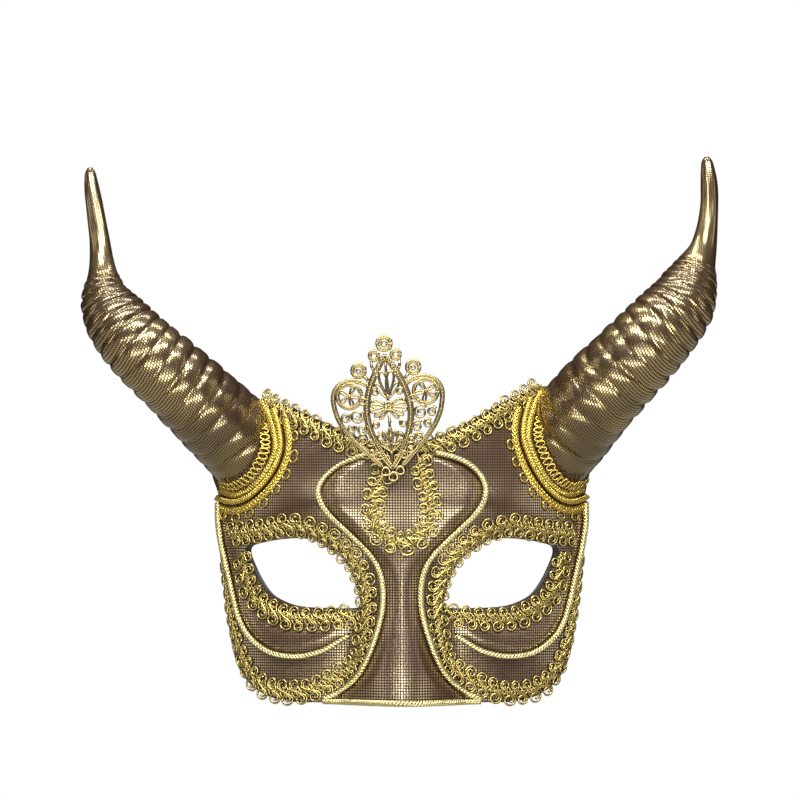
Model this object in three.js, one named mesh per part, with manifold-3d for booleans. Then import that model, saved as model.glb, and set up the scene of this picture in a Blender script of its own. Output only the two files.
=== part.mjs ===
// Horned masquerade half mask, in millimetres, +Z up, +X to the viewer's right, front towards -Y.
// The origin is on the inside of the nose bridge, where the mask rests on its wearer's face.
import * as THREE from 'three';
import { mergeVertices } from 'three/addons/utils/BufferGeometryUtils.js';
import Module from 'manifold-3d';

const wasm = await Module();
wasm.setup();

// Form of the face: an ellipse bent round the head, with a nose, a brow and eye sockets.
const wrapHalfWidth = 96;
const wrapDepth = 72;
const foreheadLean = 0.0016;
const foreheadStart = 15;
const foreheadSpread = 60;
const noseHeight = 20;
const noseTop = 25;
const noseBottom = -58;
const noseTopHalf = 16;
const noseBottomHalf = 30;
const socket = { x: 46, z: 0, halfWidth: 24, halfHeight: 18, depth: 3 };
const brow = { x: 40, z: 32, halfWidth: 30, halfHeight: 10, height: 3 };
const topSkew = 0.045; // the hand-made top edge stands a little higher on the +X side
const topSkewFrom = 30;
const topSkewTo = 60;

// Layers. Heights are measured outwards from the front of the fabric, so layers under it are negative.
const gap = 0.3;
const liningThickness = 1;
const shellThickness = 2.4;
const fabricThickness = 0.6;
const fabricBack = -fabricThickness;
const shellFront = fabricBack - gap;
const shellBack = shellFront - shellThickness;
const liningFront = shellBack - gap;
const liningBack = liningFront - liningThickness;
const trimBack = 0.8;
const braidThickness = 1.8;

// Trims.
const braidHalfWidth = 4.2;
const edgeBraidNarrow = 2.2;
const edgeNarrowing = { from: 0.6, to: 0.72 }; // shares of the route, where it turns up the outer edge
const bandHalfWidth = 1.7;
const bandSpacing = 3.6;
const cordRadius = 1.5;
const ringCordRadius = 1.4;
const ringStarts = { inner: 0, cord: 0.2, outer: 0.24 }; // shares of the route round the horn
const ringEnd = 0.97;
const trimStep = 6;

// Horns.
const hornSides = 12;
const ribsPerPoint = 2.6;
const firstRib = 1.75;
const ribCount = 14;
const ribHeight = 1;
const sleeveThickness = 1.2;
const coreEnd = 12.3; // along the centre line, counted in its points
const hollowEnd = 12.55;
const hornGap = 0.8; // the horns are cut this far off the fabric, whose facets bulge a little
const hornReference = new THREE.Vector3(0.6, -0.8, 0);

// Filigree.
const filigreeCentre = { x: -5.7, y: -3, z: 76.5 };
const filigreeThickness = 1.2;
const filigreeLean = THREE.MathUtils.degToRad(5);
const filigreeTilt = THREE.MathUtils.degToRad(-4);

// Ribbon anchors.
const anchorHalfWidth = 5;
const anchorHalfHeight = 8;
const anchorThickness = 1.2;
const anchorStandOff = 1.4; // clears the hollow of the temple under the tab's corners
const anchorPlace = { x: 78, z: 26 };
const anchorSlot = { halfWidth: 1, halfHeight: 5, offset: 2.4 };

// Outline of the mask on the +X side, from the top centre down to the bottom centre, as [x, z].
const topCentre = 57.5;
const bottomCentre = -57.5;
const halfOutline = [
  [13, 59.5], [25, 64], [40, 71.5], [55, 79], [66, 83], [77, 81], [85, 72], [88.5, 60], [87, 48],
  [84, 36], [84.3, 20], [82.5, 2], [80, -18], [77, -36], [72.5, -46.5], [64, -54], [52, -57.5], [36, -57.8],
];
const eyeOutline = [
  [49, 17], [62, 15.5], [72, 12], [69, 2.3], [63, -6.9], [57, -11.5], [47, -14.7], [33, -15.5],
  [20.2, -15.2], [19.3, -11.5], [22.1, -2.3], [26.7, 6.9], [33.1, 11.5], [40, 15.8],
];

// Routes of the trims on the +X side, as [x, z]; the -X side is their mirror image.
const topBraidRoute = [[13, 58.5], [25, 61.8], [34, 66], [43, 71], [51.5, 76], [54.5, 77.6]];
const foreheadLoopRoute = [
  [-8.5, 50], [-10.5, 42], [-13, 35], [-13.2, 27], [-10.8, 20.5], [-5.8, 16], [0, 14.4],
  [5.8, 16], [10.8, 20.5], [13.2, 27], [13, 35], [10.5, 42], [8.5, 50],
];
const eyeUpperRoute = [
  [78.5, 19], [69, 19.5], [59.3, 21.6], [49.6, 22.9], [39.9, 20.3], [31.6, 15.1], [25.1, 8.7],
  [19.9, 1], [17.3, -7.5], [16.7, -17],
];
const eyeLowerRoute = [
  [72.8, 8.7], [72.8, -1.6], [69.6, -10.7], [62.5, -16.5], [54.8, -20.3], [46.4, -21.5],
  [38, -21.5], [30.3, -20.5], [24, -19.5],
];
const cheekEdgeRoute = [
  [16.7, -22], [18, -30], [20.5, -38.5], [26.4, -44.7], [33.5, -49.2], [40, -52.3], [46.4, -54],
  [53, -54.3], [60.6, -53], [67, -49.5], [72.2, -43.8], [75.8, -36.5], [78.6, -26.8], [80.8, -17],
  [82.6, -4.2],
];
const noseCordRoute = [
  [19, 53.6], [25, 52.6], [31, 49.5], [36, 44.5], [38.2, 39], [37, 33], [33, 27.5], [27, 21.8],
  [20.5, 15.5], [15, 10], [11.2, 4.5], [9, -2], [8.2, -9], [8.4, -15], [9.4, -21], [11.6, -29],
  [14.4, -37], [18.2, -44.5], [23.5, -50.4], [30, -54],
];
const cheekCordRoute = [
  [84, 24], [82.6, 14], [80.6, 5], [78.6, -4], [76.6, -13], [74.2, -21], [70.6, -27.5], [65.6, -32.5],
  [59.5, -36], [52.3, -37.4], [45, -37.2], [37, -35.2], [31, -32], [26, -29],
];
const bottomCordRoute = [[-33, -58.3], [-16, -59.2], [0, -59.4], [16, -59.2], [35, -58.5]];
const hornRingRoute = [
  [59.6, 84.5], [56.8, 76.5], [54.9, 68], [54.8, 60.5], [57, 53], [60.6, 46], [65.2, 39.8], [71.2, 35],
  [78, 33.6], [84, 35.6],
];

// Horn centre lines with their radii, as [x, y, z, radius], from inside the mask to the tip.
const hornRoutes = {
  left: [
    [-66, 43.5, 51, 20], [-75.5, 36.5, 62, 19.9], [-90.1, 26.5, 76.5, 19], [-105.5, 19.5, 91, 17.8],
    [-119.9, 17.5, 104.1, 16.7], [-131, 20, 116.5, 15], [-136.6, 24, 126.7, 11.8], [-138, 28, 136, 7.8],
    [-138.9, 31, 144.5, 5.7], [-139.8, 34, 154.5, 4.7], [-141.7, 37, 165.7, 4.2], [-143.5, 40, 177.1, 3.6],
    [-144.3, 42, 185, 2.6], [-144.5, 42.8, 188, 1.2],
  ],
  right: [
    [66.5, 43.5, 53, 19.8], [76, 36.5, 64.5, 19.9], [88.3, 26, 80.5, 20], [103.5, 19, 96.5, 19],
    [117, 17, 110.6, 18], [127.6, 19.5, 123.2, 16.2], [132.8, 23.5, 133.4, 13.2], [136, 27.5, 142, 9.4],
    [139.2, 31, 150.5, 6.4], [141.2, 34, 160, 4.9], [142.1, 37, 170.5, 4.2], [142.1, 40, 181, 3.9],
    [141.4, 42, 190, 2.8], [141.2, 42.8, 193, 1.2],
  ],
};

// Colours, roughness and metalness.
const fabricLook = { color: 0x8a6236, roughness: 0.35, metalness: 0.75 };
const braidLook = { color: 0xb9a640, roughness: 0.45, metalness: 0.6 };
const filigreeLook = { color: 0xd6c684, roughness: 0.3, metalness: 0.9 };
const shellLook = { color: 0x3a332c, roughness: 0.6, metalness: 0 };
const liningLook = { color: 0x17161a, roughness: 0.9, metalness: 0 };

const group = new THREE.Group();

function add(name, geometry, look) {
  const mesh = new THREE.Mesh(geometry, new THREE.MeshStandardMaterial(look));
  mesh.name = name;
  group.add(mesh);
  return mesh;
}

// ---- Form of the face ----

function noseRise(x, z) {
  const along = THREE.MathUtils.clamp((noseTop - z) / (noseTop - noseBottom), 0, 1);
  const half = THREE.MathUtils.lerp(noseTopHalf, noseBottomHalf, along);
  const across = Math.min(1, Math.abs(x) / half);
  return noseHeight * along ** 1.5 * (1 - across ** 2) ** 2;
}

function swell(x, z, form) {
  const u = (Math.abs(x) - form.x) / form.halfWidth;
  const v = (z - form.z) / form.halfHeight;
  return Math.exp(-u * u - v * v);
}

function depth(x, z) {
  const wrap = wrapDepth * (1 - Math.sqrt(1 - (x / wrapHalfWidth) ** 2));
  const lean = foreheadLean * (1 + (x / foreheadSpread) ** 2) * Math.max(0, z - foreheadStart) ** 2;
  const relief = socket.depth * swell(x, z, socket) - brow.height * swell(x, z, brow);
  return wrap + lean + relief - noseRise(x, z);
}

function faceNormal(x, z) {
  const step = 0.25;
  const slopeX = (depth(x + step, z) - depth(x - step, z)) / (2 * step);
  const slopeZ = (depth(x, z + step) - depth(x, z - step)) / (2 * step);
  return new THREE.Vector3(slopeX, -1, slopeZ).normalize();
}

// The point at a height above the front of the fabric at (x, z).
function facePoint(x, z, height) {
  const front = new THREE.Vector3(x, depth(x, z) - depth(0, 0) + liningBack, z);
  return front.addScaledVector(faceNormal(x, z), height);
}

// Places a route point on one side, with the small skew of the top edge.
function placed([x, z], side) {
  const share = THREE.MathUtils.smoothstep(z, topSkewFrom, topSkewTo);
  return [side * x, z + topSkew * side * x * share];
}

// ---- Solids ----

// A closed solid between two skins. Every station has a row of points on top and one below.
function slab(stations) {
  const columns = stations[0].top.length;
  const positions = [];
  for (const station of stations) {
    for (const point of [...station.top, ...station.bottom]) {
      positions.push(point.x, point.y, point.z);
    }
  }
  const top = (i, k) => i * 2 * columns + k;
  const bottom = (i, k) => top(i, k) + columns;
  const faces = [];
  const quad = (a, b, c, d) => faces.push(a, b, c, a, c, d);
  const last = stations.length - 1;
  const edge = columns - 1;
  for (let i = 0; i < last; i += 1) {
    for (let k = 0; k < edge; k += 1) {
      quad(top(i, k), top(i + 1, k), top(i + 1, k + 1), top(i, k + 1));
      quad(bottom(i, k), bottom(i, k + 1), bottom(i + 1, k + 1), bottom(i + 1, k));
    }
    quad(bottom(i, 0), bottom(i + 1, 0), top(i + 1, 0), top(i, 0));
    quad(bottom(i, edge), top(i, edge), top(i + 1, edge), bottom(i + 1, edge));
  }
  for (let k = 0; k < edge; k += 1) {
    quad(bottom(0, k), top(0, k), top(0, k + 1), bottom(0, k + 1));
    quad(bottom(last, k), bottom(last, k + 1), top(last, k + 1), top(last, k));
  }
  const geometry = new THREE.BufferGeometry();
  geometry.setAttribute('position', new THREE.Float32BufferAttribute(positions, 3));
  geometry.setIndex(faces);
  return geometry;
}

function toSolid(geometry) {
  const bare = geometry.clone();
  bare.deleteAttribute('normal');
  bare.deleteAttribute('uv');
  const merged = mergeVertices(bare, 1e-4);
  const corners = merged.index.array;
  const kept = [];
  for (let i = 0; i < corners.length; i += 3) {
    const [a, b, c] = corners.slice(i, i + 3);
    if (a !== b && b !== c && c !== a) {
      kept.push(a, b, c);
    }
  }
  return new wasm.Manifold(new wasm.Mesh({
    numProp: 3,
    vertProperties: new Float32Array(merged.attributes.position.array),
    triVerts: new Uint32Array(kept),
  }));
}

function toGeometry(solid) {
  const mesh = solid.getMesh();
  const geometry = new THREE.BufferGeometry();
  geometry.setAttribute('position', new THREE.Float32BufferAttribute(mesh.vertProperties, 3));
  geometry.setIndex(new THREE.BufferAttribute(new Uint32Array(mesh.triVerts), 1));
  return geometry;
}

// ---- The face: lining, shell and fabric, all cut to one outline with two eye holes ----

const gridX = [-94, -87, -80, -73, -65, -56, -46, -36, -28, -21, -15, -9.5, -4.5];
const gridColumns = [...gridX, 0, ...gridX.map((x) => -x).reverse()];
const gridRows = [-64, -56, -47, -37, -27, -17, -7, 3, 13, 23, 33, 44, 56, 68, 80, 92];

function outlineShape() {
  const left = halfOutline.map((point) => new THREE.Vector2(...placed(point, -1)));
  const right = halfOutline.map((point) => new THREE.Vector2(...placed(point, 1))).reverse();
  const shape = new THREE.Shape();
  shape.moveTo(0, topCentre);
  shape.splineThru([...left, new THREE.Vector2(0, bottomCentre)]);
  shape.splineThru([...right, new THREE.Vector2(0, topCentre)]);
  for (const side of [-1, 1]) {
    const [first, ...rest] = eyeOutline.map((point) => new THREE.Vector2(...placed(point, side)));
    const hole = new THREE.Path();
    hole.moveTo(first.x, first.y);
    hole.splineThru([...rest, first]);
    shape.holes.push(hole);
  }
  return shape;
}

function outlinePrism() {
  const reach = 200;
  const geometry = new THREE.ExtrudeGeometry(outlineShape(), {
    depth: 2 * reach, bevelEnabled: false, curveSegments: 2,
  });
  geometry.translate(0, 0, -reach);
  return geometry.rotateX(Math.PI / 2);
}

// The cut is made once on a thick block, whose vertices are then moved onto each layer's two skins.
const blockThickness = 60;

function faceBlock() {
  return toSolid(slab(gridColumns.map((x) => ({
    top: gridRows.map((z) => new THREE.Vector3(x, depth(x, z) - blockThickness, z)),
    bottom: gridRows.map((z) => new THREE.Vector3(x, depth(x, z), z)),
  })))).intersect(toSolid(outlinePrism()));
}

function faceLayer(block, back, front) {
  const geometry = toGeometry(block);
  const position = geometry.attributes.position;
  for (let i = 0; i < position.count; i += 1) {
    const x = position.getX(i);
    const z = position.getZ(i);
    const onFront = position.getY(i) < depth(x, z) - blockThickness / 2;
    const point = facePoint(x, z, onFront ? front : back);
    position.setXYZ(i, point.x, point.y, point.z);
  }
  return geometry;
}

function addFace() {
  const block = faceBlock();
  add('face_lining', faceLayer(block, liningBack, liningFront), liningLook);
  add('mask_shell', faceLayer(block, shellBack, shellFront), shellLook);
  add('face_fabric', faceLayer(block, fabricBack, 0), fabricLook);
}

// Everything behind the front of the fabric, which the horns are cut to fit.
function behindFace() {
  const reach = 90;
  return toSolid(slab(gridColumns.map((x) => {
    const front = gridRows.map((z) => facePoint(x, z, hornGap));
    const back = front.map((point) => new THREE.Vector3(point.x, point.y + reach, point.z));
    return { top: front, bottom: back };
  })));
}

// ---- Horns: a core inside a ribbed fabric sleeve ----

function hornSolid(route, stations, inset, ribbed) {
  const line = new THREE.CatmullRomCurve3(route.map(([x, y, z]) => new THREE.Vector3(x, y, z)));
  const radii = new THREE.CatmullRomCurve3(
    route.map(([, , , radius]) => new THREE.Vector3(radius, 0, 0)), false, 'catmullrom',
  );
  const segments = route.length - 1;
  const profile = stations.map((station) => {
    const crest = ribbed && station.crest ? ribHeight : 0;
    const radius = radii.getPoint(station.at / segments).x - inset + crest;
    return new THREE.Vector2(Math.max(radius, 0.5), station.at);
  });
  const first = profile[0].y;
  const last = profile[profile.length - 1].y;
  const closed = [new THREE.Vector2(0, first), ...profile, new THREE.Vector2(0, last)];
  const geometry = new THREE.LatheGeometry(closed, hornSides);
  const position = geometry.attributes.position;
  for (let i = 0; i < position.count; i += 1) {
    const t = position.getY(i) / segments;
    const tangent = line.getTangent(t);
    const across = hornReference.clone().addScaledVector(tangent, -hornReference.dot(tangent)).normalize();
    const up = across.clone().cross(tangent);
    const point = line.getPoint(t);
    point.addScaledVector(across, position.getX(i)).addScaledVector(up, position.getZ(i));
    position.setXYZ(i, point.x, point.y, point.z);
  }
  return toSolid(geometry);
}

function plainStations(last) {
  return [0, 1, 1.6, 2.2, 2.8, 3.4, 4, 4.5, 5, 5.5, 6, 6.5, 7, 8, 9, 10, 11, 12]
    .filter((at) => at < last - 0.2)
    .concat(last)
    .map((at) => ({ at }));
}

function ribbedStations() {
  const stations = [0, 0.6, 1, 1.4].map((at) => ({ at }));
  for (let rib = 0; rib < ribCount; rib += 1) {
    stations.push({ at: firstRib + rib / ribsPerPoint, crest: true });
    stations.push({ at: firstRib + (rib + 0.5) / ribsPerPoint });
  }
  return stations.concat([7.6, 8.3, 9.2, 10.2, 11.2, 12.1, 12.7, 13].map((at) => ({ at })));
}

function addHorn(name, route, behind) {
  const core = hornSolid(route, plainStations(coreEnd), sleeveThickness + gap, false).subtract(behind);
  const hollow = hornSolid(route, plainStations(hollowEnd), sleeveThickness, false);
  const sleeve = hornSolid(route, ribbedStations(), 0, true).subtract(hollow).subtract(behind);
  add(`horn_core_${name}`, toGeometry(core), shellLook);
  add(`horn_fabric_${name}`, toGeometry(sleeve), fabricLook);
}

// ---- Trims laid on the fabric ----

// A smooth route over the face, which gives a point and its tangent, side and outward directions.
function faceRoute(points, side) {
  const flat = points.map((point) => placed(point, side));
  const curve = new THREE.CatmullRomCurve3(flat.map(([x, z]) => new THREE.Vector3(x, 0, z)));
  const on = (u) => {
    const point = curve.getPointAt(THREE.MathUtils.clamp(u, 0, 1));
    return facePoint(point.x, point.z, trimBack);
  };
  const frame = (u) => {
    const step = 0.002;
    const point = on(u);
    const forward = on(u + step).sub(on(u - step)).normalize();
    const outward = faceNormal(point.x, point.z);
    return { point, forward, outward, sideways: outward.clone().cross(forward).normalize() };
  };
  return { frame, steps: Math.ceil(curve.getLength() / trimStep) };
}

function onFace(point, height) {
  return facePoint(point.x, point.z, trimBack + height);
}

// A flat strip along a route. Its middle runs beside the route by shift, and halfWidth may vary along it.
function strip(route, halfWidth, { shift = 0, from = 0, to = 1 } = {}) {
  const stations = [];
  for (let i = 0; i <= route.steps; i += 1) {
    const u = THREE.MathUtils.lerp(from, to, i / route.steps);
    const { point, sideways } = route.frame(u);
    const half = halfWidth(u);
    const row = [-half, 0, half].map((offset) => point.clone().addScaledVector(sideways, shift + offset));
    stations.push({
      top: row.map((across, k) => onFace(across, k === 1 ? braidThickness : 0.7 * braidThickness)),
      bottom: row.map((across) => onFace(across, 0)),
    });
  }
  return slab(stations);
}

function polygon(radius, sides) {
  const corners = [];
  for (let i = 0; i < sides; i += 1) {
    const angle = (2 * Math.PI * i) / sides;
    corners.push(new THREE.Vector2(radius * Math.cos(angle), radius * Math.sin(angle)));
  }
  return new THREE.Shape(corners);
}

function cord(route, radius, { shift = 0, from = 0, to = 1 } = {}) {
  const points = [];
  for (let i = 0; i <= route.steps; i += 1) {
    const { point, sideways } = route.frame(THREE.MathUtils.lerp(from, to, i / route.steps));
    points.push(onFace(point.clone().addScaledVector(sideways, shift), radius));
  }
  return new THREE.ExtrudeGeometry(polygon(radius, 6), {
    steps: route.steps, bevelEnabled: false, extrudePath: new THREE.CatmullRomCurve3(points),
  });
}

const braidHalf = () => braidHalfWidth;
const bandHalf = () => bandHalfWidth;
const edgeBraidHalf = (u) => {
  const share = THREE.MathUtils.smoothstep(u, edgeNarrowing.from, edgeNarrowing.to);
  return THREE.MathUtils.lerp(braidHalfWidth, edgeBraidNarrow, share);
};

function addSideTrims(name, side) {
  add(`eye_upper_braid_${name}`, strip(faceRoute(eyeUpperRoute, side), braidHalf), braidLook);
  add(`eye_lower_braid_${name}`, strip(faceRoute(eyeLowerRoute, side), braidHalf), braidLook);
  add(`cheek_edge_braid_${name}`, strip(faceRoute(cheekEdgeRoute, side), edgeBraidHalf), braidLook);
  add(`nose_cord_${name}`, cord(faceRoute(noseCordRoute, side), cordRadius), braidLook);
  add(`cheek_cord_${name}`, cord(faceRoute(cheekCordRoute, side), cordRadius), braidLook);
  const ring = faceRoute(hornRingRoute, side);
  const inner = { shift: side * bandSpacing, from: ringStarts.inner, to: ringEnd };
  const middle = { from: ringStarts.cord, to: ringEnd };
  const outer = { shift: -side * bandSpacing, from: ringStarts.outer, to: ringEnd };
  add(`horn_ring_inner_${name}`, strip(ring, bandHalf, inner), braidLook);
  add(`horn_ring_cord_${name}`, cord(ring, ringCordRadius, middle), braidLook);
  add(`horn_ring_outer_${name}`, strip(ring, bandHalf, outer), braidLook);
}

function addMiddleTrims() {
  const mirrored = topBraidRoute.map(([x, z]) => [-x, z]).reverse();
  const topRoute = [...mirrored, [0, topCentre], ...topBraidRoute];
  add('top_edge_braid', strip(faceRoute(topRoute, 1), braidHalf), braidLook);
  add('forehead_loop_braid', strip(faceRoute(foreheadLoopRoute, 1), braidHalf), braidLook);
  add('bottom_edge_cord', cord(faceRoute(bottomCordRoute, 1), cordRadius), braidLook);
}

// ---- Filigree: one pierced plate, drawn round its own centre with y up ----

function extruded(shape) {
  return toSolid(new THREE.ExtrudeGeometry(shape, {
    depth: filigreeThickness, bevelEnabled: false, curveSegments: 5,
  }));
}

function ring(x, y, radius, width) {
  const shape = new THREE.Shape();
  shape.absarc(x, y, radius, 0, 2 * Math.PI, false);
  const hole = new THREE.Path();
  hole.absarc(x, y, radius - width, 0, 2 * Math.PI, true);
  shape.holes.push(hole);
  return extruded(shape);
}

function leafFrame(halfWidth, top, bottom, width) {
  const draw = (path, inset) => {
    const reach = 2 * (halfWidth - inset);
    path.moveTo(0, top - 2 * inset);
    path.quadraticCurveTo(-reach, 0, 0, bottom + 2 * inset);
    path.quadraticCurveTo(reach, 0, 0, top - 2 * inset);
    return path;
  };
  const shape = draw(new THREE.Shape(), 0);
  shape.holes.push(draw(new THREE.Path(), width));
  return extruded(shape);
}

function bar(x0, y0, x1, y1, width) {
  const along = new THREE.Vector2(x1 - x0, y1 - y0).normalize().multiplyScalar(width / 2);
  const shape = new THREE.Shape([
    new THREE.Vector2(x0 + along.y, y0 - along.x), new THREE.Vector2(x1 + along.y, y1 - along.x),
    new THREE.Vector2(x1 - along.y, y1 + along.x), new THREE.Vector2(x0 - along.y, y0 + along.x),
  ]);
  return extruded(shape);
}

function addFiligree() {
  const pieces = [
    leafFrame(11, 26.5, -28.5, 2),
    ring(0, 29.5, 4, 1.5),
    ring(0, -30.5, 2.8, 1.1),
    bar(0, 25, 0, -26, 1.8),
    bar(-10, 2, 10, 2, 1.8),
    bar(-7, 14, 7, 14, 1.6),
    bar(-7, -12, 7, -12, 1.6),
  ];
  for (const side of [-1, 1]) {
    pieces.push(ring(side * 17.6, 6.5, 7.8, 1.6));
    pieces.push(ring(side * 12.6, 18, 3.6, 1.3));
    pieces.push(ring(side * 5.2, 26, 2.9, 1.1));
    pieces.push(ring(side * 3.4, -28.4, 2.3, 1));
    pieces.push(bar(side * 24, 1.5, side * 20, -9, 1.8));
    pieces.push(bar(side * 20, -9, side * 3.6, -27, 1.8));
    pieces.push(bar(side * 8, -6, side * 21, -8, 1.6));
    pieces.push(bar(side * 6.8, 13, side * 11, 16.4, 1.6));
  }
  const plate = pieces.reduce((whole, piece) => whole.add(piece));
  const mesh = add('filigree_ornament', toGeometry(plate), filigreeLook);
  mesh.position.set(filigreeCentre.x, filigreeCentre.y, filigreeCentre.z);
  mesh.rotation.set(Math.PI / 2 - filigreeLean, 0, 0);
  mesh.rotateZ(-filigreeTilt);
}

// ---- Ribbon anchors: flat slotted tabs on the lining at the temples ----

function addAnchor(name, side) {
  const outline = new THREE.Shape();
  outline.moveTo(-anchorHalfWidth, -anchorHalfHeight);
  outline.lineTo(anchorHalfWidth, -anchorHalfHeight);
  outline.lineTo(anchorHalfWidth, anchorHalfHeight);
  outline.lineTo(-anchorHalfWidth, anchorHalfHeight);
  const slot = new THREE.Path();
  const centre = side * anchorSlot.offset;
  slot.moveTo(centre - anchorSlot.halfWidth, -anchorSlot.halfHeight);
  slot.lineTo(centre - anchorSlot.halfWidth, anchorSlot.halfHeight);
  slot.lineTo(centre + anchorSlot.halfWidth, anchorSlot.halfHeight);
  slot.lineTo(centre + anchorSlot.halfWidth, -anchorSlot.halfHeight);
  outline.holes.push(slot);
  const geometry = new THREE.ExtrudeGeometry(outline, { depth: anchorThickness, bevelEnabled: false });
  const mesh = add(`ribbon_anchor_${name}`, geometry, liningLook);
  const x = side * anchorPlace.x;
  const outward = faceNormal(x, anchorPlace.z);
  const upward = new THREE.Vector3(0, 0, 1).addScaledVector(outward, -outward.z).normalize();
  const across = upward.clone().cross(outward);
  mesh.quaternion.setFromRotationMatrix(new THREE.Matrix4().makeBasis(across, upward, outward));
  mesh.position.copy(facePoint(x, anchorPlace.z, liningBack - anchorStandOff - anchorThickness));
}

addFace();
const behind = behindFace();
for (const [name, side] of [['left', -1], ['right', 1]]) {
  addHorn(name, hornRoutes[name], behind);
  addSideTrims(name, side);
  addAnchor(name, side);
}
addMiddleTrims();
addFiligree();

export default group;
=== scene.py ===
"""Horned masquerade half mask: the looks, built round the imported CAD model.

Shapes are worked out in millimetres in the CAD's own frame (+X to the viewer's right, front
towards -Y, +Z up, origin inside the nose bridge) and are turned into metres as each mesh is made.
"""
import math

import bpy
import numpy as np
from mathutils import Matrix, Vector
from mathutils.geometry import delaunay_2d_cdt


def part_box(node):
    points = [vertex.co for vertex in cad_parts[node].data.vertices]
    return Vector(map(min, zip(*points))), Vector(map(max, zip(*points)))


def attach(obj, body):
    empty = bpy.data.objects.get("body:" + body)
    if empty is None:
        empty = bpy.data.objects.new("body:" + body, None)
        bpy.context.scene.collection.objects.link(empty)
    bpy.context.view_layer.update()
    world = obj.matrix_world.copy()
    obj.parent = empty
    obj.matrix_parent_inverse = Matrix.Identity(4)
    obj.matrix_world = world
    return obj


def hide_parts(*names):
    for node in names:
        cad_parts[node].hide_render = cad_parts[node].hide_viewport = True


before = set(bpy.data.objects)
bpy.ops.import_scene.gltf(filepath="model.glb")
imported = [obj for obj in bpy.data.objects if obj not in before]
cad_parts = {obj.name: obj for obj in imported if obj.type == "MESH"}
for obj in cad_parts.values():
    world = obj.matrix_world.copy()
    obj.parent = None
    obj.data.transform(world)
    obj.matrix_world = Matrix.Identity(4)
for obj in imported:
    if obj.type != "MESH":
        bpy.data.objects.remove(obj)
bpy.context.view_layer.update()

MM = 0.001
TURN = 2 * math.pi
rng = np.random.default_rng(7)

# ---- form of the face, as in the CAD

WRAP_HALF_WIDTH = 96
WRAP_DEPTH = 72
WRAP_EDGE = 0.7
FOREHEAD_LEAN = 0.0016
FOREHEAD_START = 15
FOREHEAD_SPREAD = 60
NOSE_HEIGHT = 20
NOSE_TOP = 25
NOSE_BOTTOM = -58
NOSE_TOP_HALF = 16
NOSE_BOTTOM_HALF = 30
NOSE_GROWTH = 1.5
SOCKET = dict(x=46, z=0, half_width=24, half_height=18, rise=-3)
BROW = dict(x=40, z=32, half_width=30, half_height=10, rise=3)
TOP_SKEW = 0.045
TOP_SKEW_FROM = 30
TOP_SKEW_TO = 60
LAYERS_DEPTH = 4.6

# Low steps of the moulding, which the CAD's plain face leaves out: the panel between the nose cords
# and the pad above each cheek cord. Each step starts and ends at a distance from its cord.
PANEL_RISE = 2.4
PANEL_STEP = (0.8, 8.0)
PAD_RISE = 1.6
PAD_STEP = (1.2, 4.2)
PAD_FADE = (7.0, 15.0)
PAD_INNER_END = (24, 32)
PAD_OUTER_END = (68, 76)
FAR = 100

# ---- routes, as (x, z)
# They follow the CAD's own, except that the top edge of the cloth stands about 1.5 mm higher and
# the horns have sixteen ribs, from nearer the base, where the CAD has fourteen.

TOP_CENTRE = 59.0
BOTTOM_CENTRE = -57.5
HALF_OUTLINE = [
    (13, 61), (25, 65.6), (40, 73.1), (55, 80.2), (66, 83), (77, 81), (85, 72), (88.5, 60), (87, 48),
    (84, 36), (84.3, 20), (82.5, 2), (80, -18), (77, -36), (72.5, -46.5), (64, -54), (52, -57.5),
    (36, -57.8),
]
EYE_OUTLINE = [
    (49, 17), (62, 15.5), (72, 12), (69, 2.3), (63, -6.9), (57, -11.5), (47, -14.7), (33, -15.5),
    (20.2, -15.2), (19.3, -11.5), (22.1, -2.3), (26.7, 6.9), (33.1, 11.5), (40, 15.8),
]
HALF_TOP_BRAID = [(65, 84), (58.5, 80), (51.5, 76), (43, 71), (34, 66), (25, 61.8), (13, 58.5)]
HALF_FOREHEAD_LOOP = [(7.6, 54), (9, 49), (10.5, 42), (13, 35), (13.2, 27), (10.8, 20.5), (5.8, 16)]
FOREHEAD_LOOP_LOW = 14.4
EYE_UPPER = [
    (80.5, 18), (77, 18.7), (69, 19.5), (59.3, 21.6), (49.6, 22.9), (39.9, 20.3), (31.2, 15.3),
    (24.3, 9.1), (19, 1.3), (16.5, -7.3), (16, -14), (16.2, -21),
]
EYE_LOWER = [
    (73.8, 11), (72.2, -1.2), (68.6, -9.9), (61.9, -15.6), (54.4, -19.3), (46.4, -20.6),
    (38, -20.6), (30.3, -19.8), (20.5, -19),
]
CHEEK_EDGE = [
    (16.4, -18.5), (18, -30), (20.5, -38.5), (26.4, -44.7), (33.5, -49.2), (40, -52.3), (46.4, -54),
    (53, -54.3), (60.6, -53), (66.6, -49.5), (71.2, -43.4), (74.6, -35), (77.3, -26), (79.2, -17.5),
    (81.2, -4), (82.8, 9),
]
# Share of the braid's width at shares of its length.
FULL_WIDTH = ((0.0, 1.0), (1.0, 1.0))
CHEEK_EDGE_WIDTH = ((0.0, 1.0), (0.52, 1.0), (0.64, 0.72), (0.74, 0.5), (0.88, 0.34), (1.0, 0.3))
NOSE_CORD = [
    (15, 55.5), (24, 53), (31, 49.5), (36, 44.5), (38.2, 39), (37, 33), (33, 27.5), (27, 21.8),
    (20.5, 15.5), (15, 10), (11.2, 4.5), (9, -2), (8.2, -9), (8.4, -15), (9.4, -21), (11.6, -29),
    (14.4, -37), (18.2, -44.5), (23.5, -50.4), (29.5, -54.4), (36, -57.0),
]
CHEEK_CORD = [
    (84, 33), (84, 24), (82.6, 14), (80.6, 5), (78.6, -4), (76.6, -13), (74.2, -21), (70.6, -27.5),
    (65.6, -32.5), (59.5, -36), (52.3, -37.4), (45, -37.2), (37, -35.2), (31, -32), (24, -27.6),
]
HALF_BOTTOM_CORD = [(36, -58.2), (16, -58.6)]
BOTTOM_CORD_CENTRE = -58.8
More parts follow.
